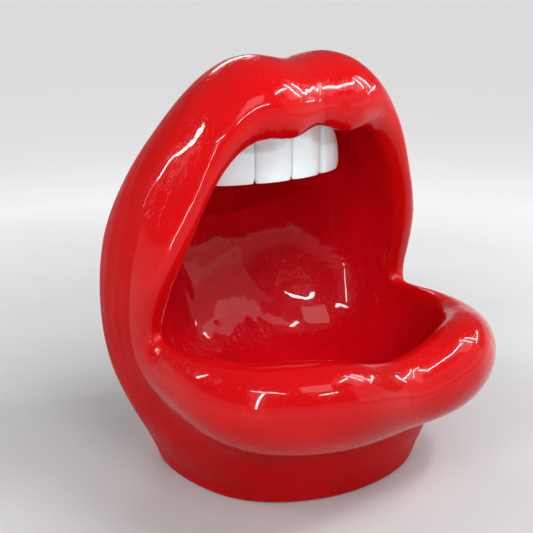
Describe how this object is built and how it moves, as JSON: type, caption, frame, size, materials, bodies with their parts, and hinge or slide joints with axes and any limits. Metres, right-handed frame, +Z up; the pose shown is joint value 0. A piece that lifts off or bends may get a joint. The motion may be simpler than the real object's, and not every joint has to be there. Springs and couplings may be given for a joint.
{
  "type": "lips armchair",
  "caption": "Glossy red open-mouth lips armchair: the lower lip rings a bucket seat, the upper lip crowns the back, with a row of white teeth inside.",
  "frame": {"origin": "on the floor, in the middle of the chair's width and depth", "axes": "the mouth faces -Y, +Z up, +X to the right-hand side seen from the front"},
  "size_m": [0.8598, 0.8532, 0.9999],
  "materials": {
    "red_gelcoat": "high gloss lacquer over hand-laid laminate",
    "dark_red_gelcoat": "gloss",
    "tooth_gelcoat": "gloss, cool white",
    "raw_laminate": "bare glass-fibre laminate",
    "plywood": "unsealed birch plywood",
    "nylon": "moulded",
    "steel": "zinc plated"
  },
  "bodies": {
    "root": {"rear_shell": "red_gelcoat", "plinth": "red_gelcoat", "upper_lip": "red_gelcoat", "lower_lip": "red_gelcoat", "mouth_lining": "dark_red_gelcoat", "tooth_bar": "plywood", "tooth_central_left": "tooth_gelcoat", "tooth_central_right": "tooth_gelcoat", "tooth_lateral_left": "tooth_gelcoat", "tooth_lateral_right": "tooth_gelcoat", "tooth_screws": "steel", "base_board": "plywood", "seat_bearer": "plywood", "seat_web_left": "plywood", "seat_web_right": "plywood", "seat_web_cross": "plywood", "spine_rib": "plywood", "border_tape_upper": "raw_laminate", "border_tape_lower": "raw_laminate", "corner_tape_left": "raw_laminate", "corner_tape_right": "raw_laminate", "side_tape_left": "raw_laminate", "side_tape_right": "raw_laminate", "glide_front_left": "nylon", "glide_front_right": "nylon", "glide_rear_left": "nylon", "glide_rear_right": "nylon", "glide_screws": "steel", "web_screws": "steel"}
  },
  "joints": []
}
